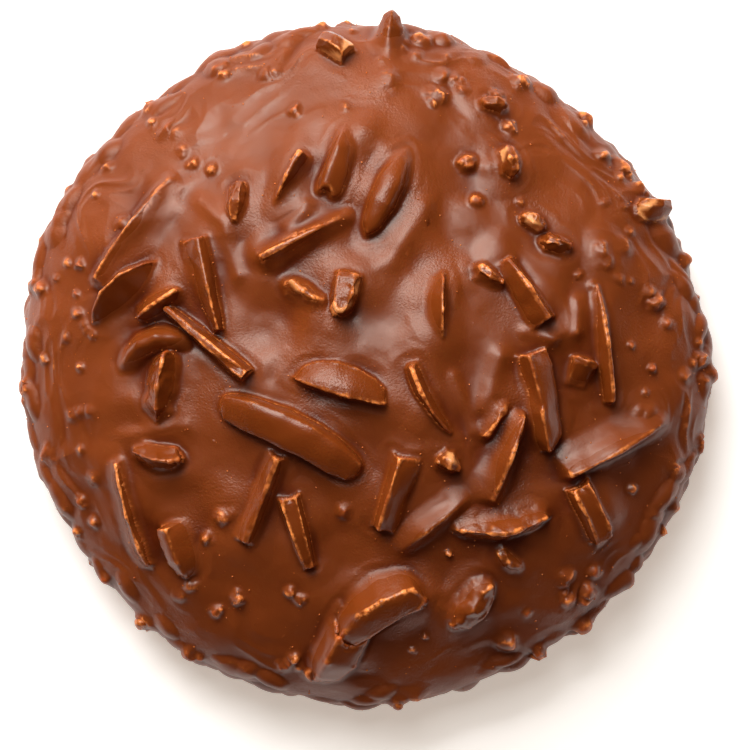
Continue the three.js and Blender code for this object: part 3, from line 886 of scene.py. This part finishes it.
# The colours of the chocolate where the meshes' values are 1: painted shade in hollows, lighter
# orange on bulges for thin chocolate with a painted glow, bright orange on crisp edges for thin
# chocolate with a painted highlight, and the bare nut.
HOLLOW_SHADE = (0.1, 0.0135, 0.0013, 1)
THIN_COAT_AND_GLOW = (0.38, 0.074, 0.013, 1)
THIN_AND_HIGHLIGHT = (0.88, 0.28, 0.068, 1)
BARE_ALMOND = (0.7, 0.28, 0.095, 1)
# The scales of the material's noises, in lumps for each metre.
CLOUDS, SPECKLES, WRINKLES, WRINKLED_PATCHES = 110, 1900, 4200, 120
WRINKLE_DEPTH = 0.00006
IOR, SCATTERED, SCATTER_LENGTH, SCATTER_COLOURS = 1.46, 0.1, 0.0006, (1.0, 0.3, 0.1)


def chocolate(name, roughness, dark, light):
    """Milk chocolate with clouds between two colours, painted shade in hollows, and brighter where
    it is thin, partly as a painted highlight and glow.
    """
    material = bpy.data.materials.new(name)
    material.use_nodes = True
    nodes, links = material.node_tree.nodes, material.node_tree.links
    shader = nodes["Principled BSDF"]
    shader.inputs["Roughness"].default_value = roughness
    shader.inputs["IOR"].default_value = IOR
    shader.inputs["Subsurface Weight"].default_value = SCATTERED
    shader.inputs["Subsurface Radius"].default_value = SCATTER_COLOURS
    shader.inputs["Subsurface Scale"].default_value = SCATTER_LENGTH
    where = nodes.new("ShaderNodeTexCoord")

    def texture(kind, scale, **settings):
        node = nodes.new(kind)
        node.inputs["Scale"].default_value = scale
        for key, value in settings.items():
            node.inputs[key].default_value = value
        links.new(where.outputs["Object"], node.inputs["Vector"])
        return node

    def mixed(factor, first, second):
        node = nodes.new("ShaderNodeMix")
        node.data_type = "RGBA"
        links.new(factor, node.inputs["Factor"])
        for socket, value in (("A", first), ("B", second)):
            if isinstance(value, tuple):
                node.inputs[socket].default_value = value
            else:
                links.new(value, node.inputs[socket])
        return node.outputs["Result"]

    def ramp(value, low, high):
        node = nodes.new("ShaderNodeMapRange")
        node.interpolation_type = "SMOOTHSTEP"
        node.inputs["From Min"].default_value = low
        node.inputs["From Max"].default_value = high
        links.new(value, node.inputs["Value"])
        return node.outputs["Result"]

    def attribute(label):
        node = nodes.new("ShaderNodeAttribute")
        node.attribute_name = label
        return node.outputs["Fac"]

    def product(first, second):
        node = nodes.new("ShaderNodeMath")
        node.operation = "MULTIPLY"
        links.new(first, node.inputs[0])
        links.new(second, node.inputs[1])
        return node.outputs["Value"]

    cloud = texture("ShaderNodeTexNoise", CLOUDS, Detail=3.0)
    tone = mixed(ramp(cloud.outputs["Fac"], 0.3, 0.7), dark, light)
    # Painted shade where the mesh lies in a hollow.
    deep = mixed(attribute("hollow_shade"), tone, HOLLOW_SHADE)
    # Lighter orange on bulges: thin chocolate over the nut, partly a painted glow.
    thin_coat_and_glow = mixed(attribute("thin_coat_and_glow"), deep, THIN_COAT_AND_GLOW)
    speckle = texture("ShaderNodeTexNoise", SPECKLES, Detail=2.0)
    # Bright orange on crisp edges: thin chocolate over the nut, partly a painted highlight.
    broken = product(attribute("thin_and_highlight"), ramp(speckle.outputs["Fac"], 0.3, 0.6))
    edge = mixed(broken, thin_coat_and_glow, THIN_AND_HIGHLIGHT)
    skin = mixed(attribute("bare"), edge, BARE_ALMOND)
    links.new(skin, shader.inputs["Base Color"])
    wrinkle = texture("ShaderNodeTexNoise", WRINKLES, Detail=3.0, Distortion=0.4)
    patchy = texture("ShaderNodeTexNoise", WRINKLED_PATCHES, Detail=1.0)
    bump = nodes.new("ShaderNodeBump")
    bump.inputs["Distance"].default_value = WRINKLE_DEPTH
    links.new(wrinkle.outputs["Fac"], bump.inputs["Height"])
    links.new(ramp(patchy.outputs["Fac"], 0.3, 0.75), bump.inputs["Strength"])
    links.new(bump.outputs["Normal"], shader.inputs["Normal"])
    return material


milk_chocolate = chocolate(
    "milk_chocolate", 0.36, dark=(0.168, 0.0315, 0.0038, 1), light=(0.208, 0.041, 0.0058, 1)
)
thin_chocolate = chocolate(
    "thin_chocolate", 0.26, dark=(0.16, 0.03, 0.0036, 1), light=(0.198, 0.0388, 0.0055, 1)
)


def finish(piece, material, slot, *nodes):
    """Gives the piece its chocolate, hangs it from the root body and hides the solids that it
    stands in for.
    """
    piece.data.materials.clear()
    piece.data.materials.append(material)
    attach(piece, "root")
    if nodes:
        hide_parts(*nodes)


finish(coat_piece, milk_chocolate, "milk_chocolate", "coated_biscuit")
finish(crumb_piece, thin_chocolate, "coated_almond")
finish(speck_piece, thin_chocolate, "coated_almond")
for node, piece in almonds.items():
    finish(piece, thin_chocolate, "coated_almond", node)


# ---------------------------------------------------------------- stage, light and camera

FLOOR_HALF = 2.0
FLOOR_LEVEL = -0.00003  # a hair below the underside, so that the two don't share one plane
LIGHTS_AWAY = 0.6
WARM = (1, 0.95, 0.82)
CAMERA_PLACE = (0.00079, -0.00079, 0.595)
LENS, SENSOR = 268, 36


def floor():
    mesh = bpy.data.meshes.new("floor")
    ends = (-FLOOR_HALF, FLOOR_HALF)
    corners = [(x, y, FLOOR_LEVEL) for y in ends for x in ends]
    mesh.from_pydata(corners, [], [(0, 1, 3, 2)])
    plane = link(bpy.data.objects.new("floor", mesh))
    material = bpy.data.materials.new("pale_floor")
    material.use_nodes = True
    shader = material.node_tree.nodes["Principled BSDF"]
    shader.inputs["Base Color"].default_value = (0.92, 0.92, 0.92, 1)
    shader.inputs["Roughness"].default_value = 0.9
    shader.inputs["Specular IOR Level"].default_value = 0.1
    shader.inputs["Emission Color"].default_value = (1, 0.94, 0.86, 1)
    shader.inputs["Emission Strength"].default_value = 0.4
    mesh.materials.append(material)


def area_light(
    name, azimuth, elevation, size, power, diffuse=True, glossy=True, colour=(1, 1, 1)
):
    """A square soft light that looks at the object from a direction in degrees."""
    light = bpy.data.lights.new(name, "AREA")
    light.size = size
    light.energy = power
    light.color = colour
    lamp = link(bpy.data.objects.new(name, light))
    turn, rise = math.radians(azimuth), math.radians(elevation)
    level = LIGHTS_AWAY * math.cos(rise)
    lamp.location = (
        level * math.cos(turn), level * math.sin(turn), LIGHTS_AWAY * math.sin(rise)
    )
    lamp.rotation_euler = (-lamp.location).to_track_quat("-Z", "Y").to_euler()
    lamp.visible_diffuse = diffuse
    lamp.visible_glossy = glossy


def world_light(strength, colour):
    """A faint warm fill from all round, which doesn't show in the gloss."""
    world = bpy.data.worlds.new("studio")
    bpy.context.scene.world = world
    world.use_nodes = True
    background = world.node_tree.nodes["Background"]
    background.inputs["Color"].default_value = colour
    background.inputs["Strength"].default_value = strength
    world.cycles_visibility.glossy = False


def camera():
    """Looks straight down, as the photo does."""
    lens = bpy.data.cameras.new("camera")
    lens.sensor_width = SENSOR
    lens.lens = LENS
    lens.clip_start = 0.01
    eye = link(bpy.data.objects.new("camera", lens))
    eye.location = CAMERA_PLACE
    bpy.context.scene.camera = eye


floor()
area_light("window", azimuth=112, elevation=34, size=0.45, power=6.2, glossy=False)
area_light("pane", azimuth=114, elevation=42, size=0.5, power=1.9, diffuse=False, colour=WARM)
area_light("lamp", azimuth=104, elevation=62, size=0.3, power=1.2)
area_light("canopy", azimuth=104, elevation=62, size=0.22, power=1.5, diffuse=False, colour=WARM)
world_light(strength=0.18, colour=(1, 0.67, 0.42, 1))
camera()
bpy.context.scene.view_settings.view_transform = "Standard"
